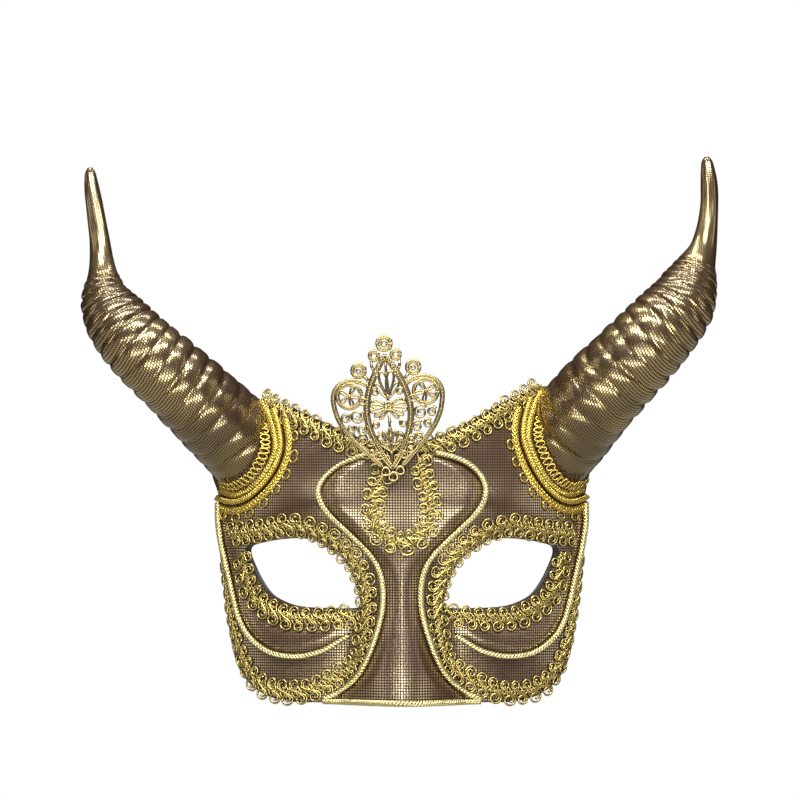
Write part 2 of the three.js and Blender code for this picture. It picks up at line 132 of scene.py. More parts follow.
HORN_RING = [
    (62.4, 85.6), (58.2, 77), (55.7, 68), (55.2, 60.5), (57.4, 53), (61, 46), (65.6, 39.8),
    (71.4, 35), (78, 33.2), (85.5, 35.6),
]
# Centre (x, y, z) and radius along each horn, from inside the face to the tip.
HORN_LINES = {
    "left": [
        (-66, 43.5, 51, 20), (-75.5, 36.5, 62, 19.9), (-90.1, 26.5, 76.5, 19), (-105.5, 19.5, 91, 17.8),
        (-119.9, 17.5, 104.1, 16.7), (-131, 20, 116.5, 15), (-136.6, 24, 126.7, 11.8),
        (-138, 28, 136, 7.8), (-138.9, 31, 144.5, 5.7), (-139.8, 34, 154.5, 4.7),
        (-141.7, 37, 165.7, 4.2),
        (-143.5, 40, 177.1, 3.6), (-144.3, 42, 185, 2.6), (-144.5, 42.8, 188, 1.2),
    ],
    "right": [
        (66.5, 43.5, 53, 19.8), (76, 36.5, 64.5, 19.9), (88.3, 26, 80.5, 20), (103.5, 19, 96.5, 19),
        (117, 17, 110.6, 18), (127.6, 19.5, 123.2, 16.2), (132.8, 23.5, 133.4, 13.2),
        (136, 27.5, 142, 9.4), (139.2, 31, 150.5, 6.4), (141.2, 34, 160, 4.9), (142.1, 37, 170.5, 4.2),
        (142.1, 40, 181, 3.9), (141.4, 42, 190, 2.8), (141.2, 42.8, 193, 1.2),
    ],
}
# The way a horn's turns are counted from, and where its ribs lie in points of its line.
HORN_REFERENCE = np.array([0.6, -0.8, 0.0])
RIBS_PER_POINT = 2.6
FIRST_RIB = 0.98
RIB_COUNT = 16


def smooth_step(value, low, high):
    """From 0 at low to 1 at high, level at both ends."""
    share = np.clip((value - low) / (high - low), 0, 1)
    return share * share * (3 - 2 * share)


def unit(vectors):
    return vectors / np.linalg.norm(vectors, axis=-1, keepdims=True)


def distances(line):
    """How far each point of a line lies along it."""
    return np.concatenate([[0], np.cumsum(np.linalg.norm(np.diff(line, axis=0), axis=1))])


def swell(x, z, form):
    """Height of a rounded swelling on each side of the face."""
    u = (np.abs(x) - form["x"]) / form["half_width"]
    v = (z - form["z"]) / form["half_height"]
    return form["rise"] * np.exp(-u * u - v * v)


def nose_rise(x, z):
    """Height of the nose, which grows and widens downwards."""
    along = np.clip((NOSE_TOP - z) / (NOSE_TOP - NOSE_BOTTOM), 0, 1)
    half = NOSE_TOP_HALF + (NOSE_BOTTOM_HALF - NOSE_TOP_HALF) * along
    across = np.minimum(1, np.abs(x) / half)
    return NOSE_HEIGHT * along ** NOSE_GROWTH * (1 - across ** 2) ** 2


def depth(x, z):
    """How far the front of the cloth lies behind the foremost plane, as in the CAD."""
    x = np.clip(x, -WRAP_HALF_WIDTH + WRAP_EDGE, WRAP_HALF_WIDTH - WRAP_EDGE)
    wrap = WRAP_DEPTH * (1 - np.sqrt(1 - (x / WRAP_HALF_WIDTH) ** 2))
    spread = 1 + (x / FOREHEAD_SPREAD) ** 2
    lean = FOREHEAD_LEAN * spread * np.maximum(0, z - FOREHEAD_START) ** 2
    return wrap + lean - swell(x, z, SOCKET) - swell(x, z, BROW) - nose_rise(x, z)


def relief(x, z):
    """The low steps of the moulding that the cords follow."""
    nose = np.array(NOSE_CORD[:-1])[::-1]
    reach = np.interp(z, nose[:, 1], nose[:, 0], right=0)
    panel = smooth_step(reach - np.abs(x), *PANEL_STEP)
    cheek = np.array(CHEEK_CORD[2:])[::-1]
    above = z - np.interp(np.abs(x), cheek[:, 0], cheek[:, 1], left=-FAR, right=FAR)
    pad = smooth_step(above, *PAD_STEP) * (1 - smooth_step(above, *PAD_FADE))
    pad = pad * smooth_step(np.abs(x), *PAD_INNER_END) * (1 - smooth_step(np.abs(x), *PAD_OUTER_END))
    return PANEL_RISE * panel + PAD_RISE * pad


FACE_SHIFT = float(depth(np.array(0.0), np.array(0.0))) + LAYERS_DEPTH


def front_y(x, z):
    """Where the front of the cloth lies, along Y."""
    return depth(x, z) - relief(x, z) - FACE_SHIFT


def face_normal(x, z):
    step = 0.3
    slope_x = (front_y(x + step, z) - front_y(x - step, z)) / (2 * step)
    slope_z = (front_y(x, z + step) - front_y(x, z - step)) / (2 * step)
    return unit(np.stack([slope_x, -np.ones_like(slope_x), slope_z], axis=-1))


def face_point(x, z, height):
    """The point at a height above the front of the cloth."""
    front = np.stack([x, front_y(x, z), z], axis=-1)
    return front + face_normal(x, z) * np.asarray(height, float).reshape(-1, 1)


def placed(points, side):
    """Route points on one side, with the small skew of the hand-made top edge."""
    points = np.array(points, float)
    x = side * points[:, 0]
    z = points[:, 1]
    return np.stack([x, z + TOP_SKEW * x * smooth_step(z, TOP_SKEW_FROM, TOP_SKEW_TO)], axis=1)


def curve_through(points, per_span, closed=False):
    """A Catmull-Rom curve through the points."""
    points = np.asarray(points, float)
    if closed:
        padded = np.vstack([points[-1], points, points[0], points[1]])
    else:
        padded = np.vstack([2 * points[0] - points[1], points, 2 * points[-1] - points[-2]])
    t = np.arange(per_span)[:, None] / per_span
    parts = []
    for a, b, c, d in zip(padded, padded[1:], padded[2:], padded[3:]):
        parts.append(0.5 * (2 * b + (c - a) * t + (2 * a - 5 * b + 4 * c - d) * t ** 2
                            + (3 * b - a - 3 * c + d) * t ** 3))
    if not closed:
        parts.append(points[-1:])
    return np.vstack(parts)


def both_sides(half, centre):
    """A route across the face: its half on the left, its centre, and its half on the right."""
    return [(-x, z) for x, z in half] + [(0, centre)] + half[::-1]


class Route:
    """A smooth line over the face, measured along the cloth in millimetres."""

    per_span = 24
    half_step = 0.4

    def __init__(self, points, side):
        self.flat = curve_through(placed(points, side), self.per_span)
        spots = face_point(self.flat[:, 0], self.flat[:, 1], np.zeros(len(self.flat)))
        self.distance = distances(spots)
        self.length = self.distance[-1]

    def spot(self, along):
        x = np.interp(along, self.distance, self.flat[:, 0])
        z = np.interp(along, self.distance, self.flat[:, 1])
        return face_point(x, z, np.zeros_like(x))

    def place(self, along, across, height):
        """Points at a distance along the route, beside it and above the cloth."""
        along = np.asarray(along, float)
        point = self.spot(along)
        forward = self.spot(along + self.half_step) - self.spot(along - self.half_step)
        normal = face_normal(point[:, 0], point[:, 2])
        sideways = unit(np.cross(normal, forward))
        beside = point + sideways * np.broadcast_to(across, along.shape)[:, None]
        height = np.broadcast_to(height, along.shape)
        return face_point(beside[:, 0], beside[:, 2], height)


# ---- mesh making

def add_object(name, data):
    made = bpy.data.objects.new(name, data)
    bpy.context.scene.collection.objects.link(made)
    return made


def tube_sides(along, girth, turns, first=0):
    """Faces between the rows of a closed tube, and their weave: turns of the girth, and along."""
    sides = len(turns) - 1
    across = np.outer(girth, turns)
    spots = np.stack([across, np.broadcast_to(along[:, None], across.shape)], axis=-1).tolist()
    faces = []
    weave = []
    for i in range(len(along) - 1):
        row = first + i * sides
        for k in range(sides):
            after = (k + 1) % sides
            faces.append((row + k, row + after, row + sides + after, row + sides + k))
            weave += [spots[i][k], spots[i][k + 1], spots[i + 1][k + 1], spots[i + 1][k]]
    return faces, weave


class Build:
    """Gathers points and faces in millimetres, with a route coordinate for the weave of each face."""

    def __init__(self):
        self.points = []
        self.faces = []
        self.weave = []
        self.count = 0

    def add(self, points, faces, weave):
        self.points.append(np.asarray(points, float))
        self.faces.extend([tuple(int(i) + self.count for i in face) for face in faces])
        self.weave.extend(weave)
        self.count += len(points)

    def tube(self, line, radius, sides, squash=1.0):
        """A closed round tube along a line of points."""
        line = np.asarray(line, float)
        radius = np.broadcast_to(radius, len(line))
        forward = unit(np.gradient(line, axis=0))
        across = unit(np.cross(forward, (0.0, -1.0, 0.0)))
        up = np.cross(across, forward)
        angle = TURN * np.arange(sides) / sides
        ring = across[:, None] * np.cos(angle)[:, None]
        ring = ring + up[:, None] * (squash * np.sin(angle))[:, None]
        points = line[:, None] + ring * radius[:, None, None]
        along = distances(line)
        faces, weave = tube_sides(along, np.ones(len(line)), np.arange(sides + 1) / sides)
        last = (len(line) - 1) * sides
        faces.append(tuple(range(sides))[::-1])
        faces.append(tuple(range(last, last + sides)))
        weave.extend([(0.5, 0.0)] * sides + [(0.5, along[-1])] * sides)
        self.add(points.reshape(-1, 3), faces, weave)

    def bead(self, centre, radius):
        """A small ball."""
        rows = 4
        sides = 7
        tilt = np.repeat(math.pi * np.arange(1, rows) / rows, sides)
        turn = np.tile(TURN * np.arange(sides) / sides, rows - 1)
        belt = np.stack([np.sin(tilt) * np.cos(turn), np.sin(tilt) * np.sin(turn), np.cos(tilt)], axis=1)
        points = np.vstack([(0, 0, 1), belt, (0, 0, -1)])
        end = len(points) - 1
        faces = []
        for k in range(sides):
            after = (k + 1) % sides
            faces.append((0, 1 + k, 1 + after))
            for row in range(rows - 2):
                first = 1 + row * sides
                faces.append((first + k, first + sides + k, first + sides + after, first + after))
            faces.append((end, end - sides + after, end - sides + k))
        # A quarter turn round the weave, where the painted light on metal is at its brightest, so every
        # bead is painted fully lit.
        weave = [(0.25, 0.0)] * sum(len(face) for face in faces)
        self.add(points * radius + centre, faces, weave)

    def piece(self, name, slot, stands_for, material=None, sharp=None):
        mesh = bpy.data.meshes.new(name)
        points = np.vstack(self.points) * MM
        mesh.from_pydata(points.tolist(), [], self.faces)
        layer = mesh.uv_layers.new(name="weave")
        layer.data.foreach_set("uv", np.array(self.weave, np.float32).ravel())
        mesh.polygons.foreach_set("use_smooth", np.ones(len(mesh.polygons), bool))
        if sharp:
            mesh.set_sharp_from_angle(angle=math.radians(sharp))
        mesh.materials.append(MATERIALS[material or slot])
        made = add_object(name, mesh)
        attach(made, "root")
        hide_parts(stands_for)
        return made


# ---- materials

class Nodes:
    """A new material or world, and a few helpers to lay out its nodes."""

    def __init__(self, name, kind="materials"):
        self.name = name
        self.owner = getattr(bpy.data, kind).new(name)
        self.owner.use_nodes = True
        self.tree = self.owner.node_tree
        self.shader = self.tree.nodes.get("Principled BSDF")

    def node(self, kind, **values):
        made = self.tree.nodes.new(kind)
        for key, value in values.items():
            if key in made.inputs:
                made.inputs[key].default_value = value
            else:
                setattr(made, key, value)
        return made

    def link(self, source, target):
        self.tree.links.new(source, target)

    def feed(self, socket, value):
        """Link a socket to another node's output, or set it to a constant."""
        if hasattr(value, "is_output"):
            self.link(value, socket)
        else:
            socket.default_value = value

    def math(self, operation, first, second=None, clamp=False):
        made = self.node("ShaderNodeMath", operation=operation, use_clamp=clamp)
        self.feed(made.inputs[0], first)
        if second is not None:
            self.feed(made.inputs[1], second)
        return made.outputs[0]

    def weave(self):
        """The route coordinate of the cloth or thread, in millimetres."""
        split = self.node("ShaderNodeSeparateXYZ")
        self.link(self.node("ShaderNodeUVMap", uv_map="weave").outputs[0], split.inputs[0])
        return split.outputs[0], split.outputs[1]

    def noise(self, scale, detail=3.0, roughness=0.55):
        """Noise over the object, with its scale in cells per metre."""
        made = self.node("ShaderNodeTexNoise", Scale=scale, Detail=detail, Roughness=roughness)
        self.link(self.node("ShaderNodeTexCoord").outputs["Object"], made.inputs["Vector"])
        return made.outputs["Fac"]

    def blend(self, share, low, high):
        """A colour between two colours."""
        made = self.node("ShaderNodeMix", data_type="RGBA")
        self.link(share, made.inputs[0])
        for socket, value in ((made.inputs[6], low), (made.inputs[7], high)):
            self.feed(socket, (*value, 1.0) if isinstance(value, tuple) else value)
        return made.outputs[2]

    def between(self, share, low, high, start=0.0, end=1.0, rule="LINEAR"):
        """A number between two numbers, as the share goes from start to end."""
        ends = {"From Min": start, "From Max": end, "To Min": low, "To Max": high}
        made = self.node("ShaderNodeMapRange", interpolation_type=rule, **ends)
        self.link(share, made.inputs["Value"])
        return made.outputs[0]

    def times(self, first, second, clamp=False):
        return self.math("MULTIPLY", first, second, clamp)

    def paint(self, colour, roughness):
        self.link(colour, self.shader.inputs["Base Color"])
        self.link(roughness, self.shader.inputs["Roughness"])

    def bump(self, height, distance, strength):
        made = self.node("ShaderNodeBump", Strength=strength, Distance=distance)
        self.link(height, made.inputs["Height"])
        self.link(made.outputs[0], self.shader.inputs["Normal"])

    def set(self, **values):
        for key, value in values.items():
            self.shader.inputs[key.replace("_", " ")].default_value = value


FOIL_SPREAD = 0.24
FOIL_EDGE = 4.5
WEAR_PER_METRE = 260.0
PATCHES_PER_METRE = 31.0
WORN_PATCHES = (0.38, 0.56)


def mesh_cloth(name, foil_low, foil_high, ground_low, ground_high, gloss, worn, pitch, coat):
    """Red-brown cloth printed with a square mesh of gold foil dots.

    gloss is the roughness of the foil, worn the share of its colour left in the worn patches,
    pitch the mesh in millimetres and coat the weight of the lacquer over it all.
    """
    made = Nodes(name)
    across, along = made.weave()
    waves = [made.math("COSINE", made.times(value, TURN / pitch)) for value in (across, along)]
    square = made.math("MINIMUM", *waves)
    foil = made.times(made.math("ADD", square, FOIL_SPREAD), FOIL_EDGE, clamp=True)
    wear = made.noise(WEAR_PER_METRE)
    foil = made.times(foil, made.between(wear, 0.8, 1.15), clamp=True)
    patches = made.noise(PATCHES_PER_METRE, 1.0)
    cover = made.times(foil, made.between(patches, worn, 1.0, *WORN_PATCHES))
    gold = made.blend(made.noise(90.0), foil_low, foil_high)
    brown = made.blend(wear, ground_low, ground_high)
    made.paint(made.blend(cover, brown, gold), made.between(foil, 0.5, gloss))
    made.link(made.between(foil, 0.0, 1.0), made.shader.inputs["Metallic"])
    made.set(Coat_Weight=coat, Coat_Roughness=0.16, Coat_Tint=(1.0, 0.93, 0.8, 1))
    made.bump(made.math("ADD", foil, made.times(wear, 2.0)), 0.00002, 0.5)
    return made


def painted_crest_light(made, low, high):
    """Painted light and shade round a thread or wire: from 0 where shade is painted, at its back towards
    the cloth, to 1 where a highlight is painted on its front crest.
    """
    around, _ = made.weave()
    crest = made.math("SINE", made.times(around, TURN))
    return made.between(crest, 0.0, 1.0, low, high, "SMOOTHSTEP")


def metal_thread(name, shade_colour, bright, lay, roughness, shade_up_to):
    """Metallised thread wound round a cord: fine slanted wraps, with shade painted into the colour at the
    back of each thread and in the grooves between wraps.

    lay is the length of one wrap in millimetres, roughness that of the crests and the last argument the
    level, from -1 behind to 1 on the crest, up to which shade is painted on a thread.
    """
    made = Nodes(name)
    around, along = made.weave()
    slant = made.math("ADD", made.times(along, 1 / lay), around)
    wraps = made.math("COSINE", made.times(slant, TURN))
    ridge = made.math("ADD", made.times(wraps, 0.5), 0.5)
    patch = made.between(made.noise(420.0), 0.55, 1.25)
    # Painted shade at the back of each thread, painted light on its front crest.
    crest = painted_crest_light(made, shade_up_to, shade_up_to + 1.0)
    share = made.times(crest, patch)
    # Painted shade in the grooves between the wraps.
    share = made.times(share, made.between(ridge, 0.75, 1.05), clamp=True)
    made.paint(made.blend(share, shade_colour, bright), made.between(share, roughness + 0.15, roughness))
    made.set(Metallic=0.85)
    made.bump(ridge, 0.00003, 0.5)
    return made


def stamped_metal():
    """Pale gold plated brass, with shade painted on the back and sides of each wire and a lit front
    crest, random stains and faint tool marks.
    """
    made = Nodes("filigree_metal")
    stain = made.noise(700.0, 5.0)
    spots = made.between(stain, 0.5, 1.3)
    # Painted shade towards the back of each wire, painted light on its crest, and darker stains at
    # random.
    share = made.times(painted_crest_light(made, 0.25, 1.0), spots, clamp=True)
    colour = made.blend(share, (0.030, 0.016, 0.004), (0.56, 0.45, 0.21))
    made.paint(colour, made.between(made.noise(1500.0), 0.16, 0.30))
    made.set(Metallic=1.0)
    made.bump(stain, 0.00005, 0.4)
    return made


def black_felt():
    """Short black felt."""
    made = Nodes("lining_felt")
    nap = made.noise(2600.0, 6.0, 0.7)
    colour = made.blend(nap, (0.006, 0.006, 0.007), (0.03, 0.029, 0.032))
    made.paint(colour, made.between(made.noise(300.0), 0.82, 0.98))
    made.set(Sheen_Weight=0.25, Sheen_Roughness=0.5)
    made.bump(nap, 0.0004, 0.8)
    return made


def moulded(name, low, high):
    """Matt moulded plastic with a faint orange-peel grain."""
    made = Nodes(name)
    grain = made.noise(1200.0, 4.0)
    made.paint(made.blend(grain, low, high), made.between(made.noise(150.0), 0.45, 0.65))
    made.bump(grain, 0.00008, 0.4)
    return made


MATERIALS = {made.name: made.owner for made in (
    mesh_cloth("gold_fabric", (0.95, 0.77, 0.41), (1.0, 0.92, 0.62),
               (0.024, 0.007, 0.002), (0.070, 0.019, 0.006), 0.30, 0.45, 1.25, 0.2),
    mesh_cloth("horn_cloth", (0.78, 0.57, 0.19), (1.0, 0.86, 0.38),
               (0.018, 0.006, 0.003), (0.050, 0.019, 0.007), 0.17, 0.5, 1.1, 0.7),
    # Threads: colour of the painted shade, lit colour, lay, roughness and the level up to which shade is
    # painted.
    metal_thread("gold_braid", (0.026, 0.014, 0.003), (0.80, 0.63, 0.21), 0.9, 0.24, 0.08),
    metal_thread("gold_cord", (0.05, 0.028, 0.006), (1.0, 0.90, 0.44), 0.8, 0.22, -0.25),
    metal_thread("ring_gimp", (0.07, 0.040, 0.006), (0.84, 0.62, 0.13), 0.9, 0.22, -0.05),
    stamped_metal(),
    black_felt(),
    moulded("shell_plastic", (0.03, 0.022, 0.016), (0.06, 0.045, 0.035)),
    moulded("horn_foam", (0.10, 0.08, 0.06), (0.16, 0.13, 0.10)),
    moulded("anchor_plastic", (0.010, 0.010, 0.011), (0.025, 0.025, 0.027)),
)}

# ---- the face: cloth and lining

CLOTH_THICKNESS = 0.5
CLOTH_OVERHANG = 0.9
CLOTH_TURN_DEPTH = 3.9
LINING_THICKNESS = 0.9
LINING_EYE_MARGIN = 0.35
LINING_LIP = (-0.7, -LAYERS_DEPTH + 1.6)
LINING_PLAIN_BELOW = -2.5
FACE_RANGE_X = (-94, 95)
FACE_RANGE_Z = (-64, 92)
GRID = 1.6
GRID_CLEARANCE = 1.4
AREA_GRID = 1.0
LIP_WIDTH = 0.5
EDGE_SPAN = 8
SHARP_ANGLE = 50
MERGE_DISTANCE = 1e-4
FIELD, RIM, EYE_RIM = range(3)


def outline_loop():
    """The edge of the face, anticlockwise from the top."""
    left = placed(HALF_OUTLINE, -1)
    right = placed(HALF_OUTLINE, 1)[::-1]
    return curve_through(np.vstack([[0, TOP_CENTRE], left, [0, BOTTOM_CENTRE], right]), EDGE_SPAN, True)


def eye_loop(side):
    """The edge of one eye hole, turning the same way on both sides."""
    loop = curve_through(placed(EYE_OUTLINE, side), EDGE_SPAN, True)
    return loop if side < 0 else loop[::-1]


def grown(loop, amount):
    """A closed loop moved outwards by an amount, or inwards if it is negative."""
    ahead = unit(np.roll(loop, -1, axis=0) - np.roll(loop, 1, axis=0))
    area = np.sum(loop[:, 0] * np.roll(loop[:, 1], -1) - np.roll(loop[:, 0], -1) * loop[:, 1])
    outward = np.stack([ahead[:, 1], -ahead[:, 0]], axis=1) * np.sign(area)
    return loop + outward * amount


def inside(points, loop):
    """Which points lie inside a loop."""
    x, z = points[:, 0], points[:, 1]
    found = np.zeros(len(points), bool)
    for (x0, z0), (x1, z1) in zip(loop, np.roll(loop, -1, axis=0)):
        crosses = (z0 > z) != (z1 > z)
        with np.errstate(divide="ignore", invalid="ignore"):
            found ^= crosses & (x < (x1 - x0) * (z - z0) / (z1 - z0) + x0)
    return found


def on_cloth(points, outline, eyes):
    """Which points lie inside the outline and outside the eyes."""
    found = inside(points, outline)
    for eye in eyes:
        found &= ~inside(points, eye)
    return found


def grid_within(spacing, outline, eyes):
    x, z = np.meshgrid(np.arange(*FACE_RANGE_X, spacing), np.arange(*FACE_RANGE_Z, spacing))
    grid = np.stack([x.ravel(), z.ravel()], axis=1)
    return grid[on_cloth(grid, outline, eyes)]


def flat_triangles(outline, eyes):
    """Corners and triangles that fill the outline round the eyes, with the zone of each triangle."""
    lip = grown(outline, -LIP_WIDTH)
    eye_lips = [grown(eye, LIP_WIDTH) for eye in eyes]
    loops = [outline, lip]
    for eye, eye_lip in zip(eyes, eye_lips):
        loops += [eye, eye_lip]
    corners = [Vector(point) for loop in loops for point in loop]
    edges = []
    start = 0
    for loop in loops:
        edges += [(start + i, start + (i + 1) % len(loop)) for i in range(len(loop))]
        start += len(loop)
    clear_eyes = [grown(eye, GRID_CLEARANCE) for eye in eyes]
    grid = grid_within(GRID, grown(outline, -GRID_CLEARANCE), clear_eyes)
    corners += [Vector(point) for point in grid]
    flat, _, triangles, *_ = delaunay_2d_cdt(corners, edges, [], 0, MERGE_DISTANCE)
    flat = np.array([tuple(point) for point in flat])
    triangles = np.array(triangles)
    triangles = triangles[on_cloth(flat[triangles].mean(axis=1), outline, eyes)]
    middle = flat[triangles].mean(axis=1)
    zones = np.full(len(triangles), FIELD)
    zones[~inside(middle, lip)] = RIM
    for eye_lip in eye_lips:
        zones[inside(middle, eye_lip)] = EYE_RIM
    return flat, triangles, zones


def layered(name, slot, outline, eyes, heights, stands_for, plain_below=-math.inf):
    """A closed sheet over the face. heights gives (top, bottom) for the field, the rim and the eye rims.

    Corners lower than plain_below follow the plain form, without the low steps of the moulding.
    """
    flat, triangles, zones = flat_triangles(outline, eyes)
    index = {}
    spots = []

    def corner(point, height):
        key = (point, height)
        if key not in index:
            index[key] = len(spots)
            spots.append((flat[point][0], flat[point][1], height))
        return index[key]

    faces = []
    sides = {}
    for triangle, zone in zip(triangles, zones):
        a, b, c = (int(i) for i in triangle)
        turn = np.cross(np.append(flat[b] - flat[a], 0), np.append(flat[c] - flat[a], 0))[2]
        if turn < 0:
            b, c = c, b
        top, bottom = heights[zone]
        faces.append([corner(i, top) for i in (a, b, c)])
        faces.append([corner(i, bottom) for i in (c, b, a)])
        for pair in ((a, b), (b, c), (c, a)):
            sides[pair] = (top, bottom)

    def wall(a, b, upper, lower):
        faces.append([corner(b, upper), corner(a, upper), corner(a, lower), corner(b, lower)])

    for (a, b), (top, bottom) in sides.items():
        other = sides.get((b, a))
        if other is None:
            wall(a, b, top, bottom)
            continue
        other_top, other_bottom = other
        if top > other_top:
            wall(a, b, top, other_top)
        if bottom < other_bottom:
            wall(a, b, other_bottom, bottom)
    x, z, height = np.array(spots).T
    points = face_point(x, z, height)
    points[:, 1] += relief(x, z) * (height < plain_below)
    around = WRAP_HALF_WIDTH * np.arcsin(np.clip(x / WRAP_HALF_WIDTH, -1, 1))
    weave = [(around[i] + height[i], z[i] + height[i]) for face in faces for i in face]
    build = Build()
    build.add(points, faces, weave)
    return build.piece(name, slot, stands_for, sharp=SHARP_ANGLE)


def flat_area(outline, eyes):
    """Area of the cloth over the face, in square metres, from a fine grid of points."""
    grid = grid_within(AREA_GRID, outline, eyes)
    normal = face_normal(grid[:, 0], grid[:, 1])
    return float(np.sum(AREA_GRID * AREA_GRID / -normal[:, 1])) * MM * MM


def make_face_cloth(outline, eyes):
    edge = grown(outline, CLOTH_OVERHANG)
    skin = (0.0, -CLOTH_THICKNESS)
    cloth = layered("face_cloth", "gold_fabric", edge, eyes,
                    [skin, (0.0, -CLOTH_TURN_DEPTH), skin], "face_fabric")
    flat_area(edge, eyes)


def make_lining(outline, eyes):
    tight_eyes = [grown(eye, -LINING_EYE_MARGIN) for eye in eyes]
    skin = (-LAYERS_DEPTH + LINING_THICKNESS, -LAYERS_DEPTH)
    lining = layered("lining", "lining_felt", outline, tight_eyes,
                     [skin, skin, LINING_LIP], "face_lining", LINING_PLAIN_BELOW)
    flat_area(outline, tight_eyes)


def make_face():
    outline = outline_loop()
    eyes = [eye_loop(-1), eye_loop(1)]
    make_face_cloth(outline, eyes)
    make_lining(outline, eyes)


# ---- horns

RIB_HEIGHT = 1.25
RIB_MIDDLE = 0.7
RIB_ROUNDNESS = 2.1
CREASE_HEIGHT = 0.12
TIP_FOLD = 0.22
TIP_FOLD_START = (7.0, 8.5)
TIP_FOLD_END = (11.5, 12.8)
SLEEVE = 1.4
LEAST_RADIUS = 0.3
HORN_SPAN = 20
HORN_STATIONS = 300
HOLLOW_STATIONS = 60
HORN_SIDES = 84
HORN_SEAM = 0.5
# How far the search for the place where a horn leaves the face reaches, in points of its line.
BASE_REACH = 2.5
BASE_STATIONS = 120
BASE_COVER = 0.5
TIP_TRIM = 0.01
HOLLOW_TRIM = 0.6


def horn_line(points, t):
    """Centres and radii along a horn; t counts in the line's points."""
    table = curve_through(points, HORN_SPAN)
    at = np.arange(len(table)) / HORN_SPAN
    return np.stack([np.interp(t, at, table[:, k]) for k in range(4)], axis=-1)


def ripple(size, turns, drift, t, around):
    """A wave that goes a number of turns round the horn and drifts along it."""
    return size * np.sin(turns * around + drift * t)


def rib_profile(t, around):
    """Height of the ribs: rounded folds that wander a little round the horn."""
    wander = ripple(0.09, 2, 1.9, t, around) + ripple(0.03, 5, -4.3, t, around)
    phase = (t - FIRST_RIB) * RIBS_PER_POINT + wander
    share = smooth_step(phase, -0.6, 0.5) * (1 - smooth_step(phase, RIB_COUNT - 1, RIB_COUNT + 0.6))
    fold = 1 - (1 - np.abs(np.cos(math.pi * phase))) ** RIB_ROUNDNESS
    size = 1 + ripple(0.25, 1, 2.9, t, around) + ripple(0.15, -2, 7.1, t, around)
    crease = ripple(CREASE_HEIGHT, 3, 11, t, around) * ripple(1, 5, 2, t, around)
    tip = smooth_step(t, *TIP_FOLD_START) * (1 - smooth_step(t, *TIP_FOLD_END))
    lengthwise = ripple(TIP_FOLD, 5, 0.9, t, around) * np.cos(2 * around - 1.3 * t)
    return share * (size * RIB_HEIGHT * (fold - RIB_MIDDLE) + crease) + tip * lengthwise


def horn_surface(points, t, inset=0.0):
    """Points round the horn at each t: on its ribbed outside, or on the plain hollow if inset."""
    line = horn_line(points, t)
    step = 0.02
    ahead = unit(horn_line(points, t + step)[..., :3] - horn_line(points, t - step)[..., :3])
    across = unit(HORN_REFERENCE - ahead * (ahead @ HORN_REFERENCE)[..., None])
    up = np.cross(across, ahead)
    around = TURN * (np.arange(HORN_SIDES) / HORN_SIDES - HORN_SEAM)
    angle = np.broadcast_to(around[None, :], t.shape)
    radius = np.maximum(line[..., 3] + rib_profile(t, angle) * (inset == 0) - inset, LEAST_RADIUS)
    outward = across * np.cos(angle)[..., None] + up * np.sin(angle)[..., None]
    return line[..., :3] + outward * radius[..., None]


def horn_base(points):
    """For each way round the horn, the t at which it leaves the face."""
    probe = np.linspace(0, BASE_REACH, BASE_STATIONS)[:, None] * np.ones((1, HORN_SIDES))
    spots = horn_surface(points, probe)
    behind = spots[..., 1] > front_y(spots[..., 0], spots[..., 2]) - BASE_COVER
    last = BASE_STATIONS - 1
    return np.where(behind.any(axis=0), last - np.argmax(behind[::-1], axis=0), 0) * BASE_REACH / last


def horn_faces(girth, along):
    """The sleeve's faces over its rows of points, outside first and then the hollow, with their weave."""
    turns = np.arange(HORN_SIDES + 1) / HORN_SIDES - HORN_SEAM
    hollow = HORN_STATIONS * HORN_SIDES
    faces = []
    weave = []
    for rows in (slice(0, HORN_STATIONS), slice(HORN_STATIONS, None)):
        more_faces, more_weave = tube_sides(along[rows], girth[rows], turns, rows.start * HORN_SIDES)
        faces += more_faces
        weave += more_weave
    end = (len(along) - 1) * HORN_SIDES
    for k in range(HORN_SIDES):
        after = (k + 1) % HORN_SIDES
        faces.append((end + k, end + after, after, k))
    faces.append(tuple(range(hollow - HORN_SIDES, hollow)))
    faces.append(tuple(range(hollow, hollow + HORN_SIDES))[::-1])
    weave += [(0, 0), (1, 0), (1, 1), (0, 1)] * HORN_SIDES
    weave += [(0, along[HORN_STATIONS - 1])] * HORN_SIDES + [(0, 0)] * HORN_SIDES
    return faces, weave


def make_horn(name):
    points = np.array(HORN_LINES[name], float)
    start = horn_base(points)[None, :]
    last = len(points) - 1
    outer_share = np.linspace(0, 1, HORN_STATIONS)[:, None]
    outer_t = start + outer_share * (last - TIP_TRIM - start)
    outer = horn_surface(points, outer_t)
    inner_share = np.linspace(1, 0, HOLLOW_STATIONS)[:, None]
    inner_t = start + inner_share * (last - HOLLOW_TRIM - start)
    inner = horn_surface(points, inner_t, SLEEVE)
    outer_along = distances(outer.mean(axis=1))
    length = outer_along[-1]
    along = np.concatenate([outer_along, np.interp(inner_share[:, 0], [0, 1], [0, length])])
    middle_t = np.concatenate([outer_t.mean(axis=1), inner_t.mean(axis=1)])
    girth = TURN * horn_line(points, middle_t)[:, 3]
    build = Build()
    build.add(np.concatenate([outer, inner]).reshape(-1, 3), *horn_faces(girth, along))
    sleeve = build.piece(f"horn_cloth_{name}", "gold_fabric", f"horn_fabric_{name}", "horn_cloth")


# ---- trims

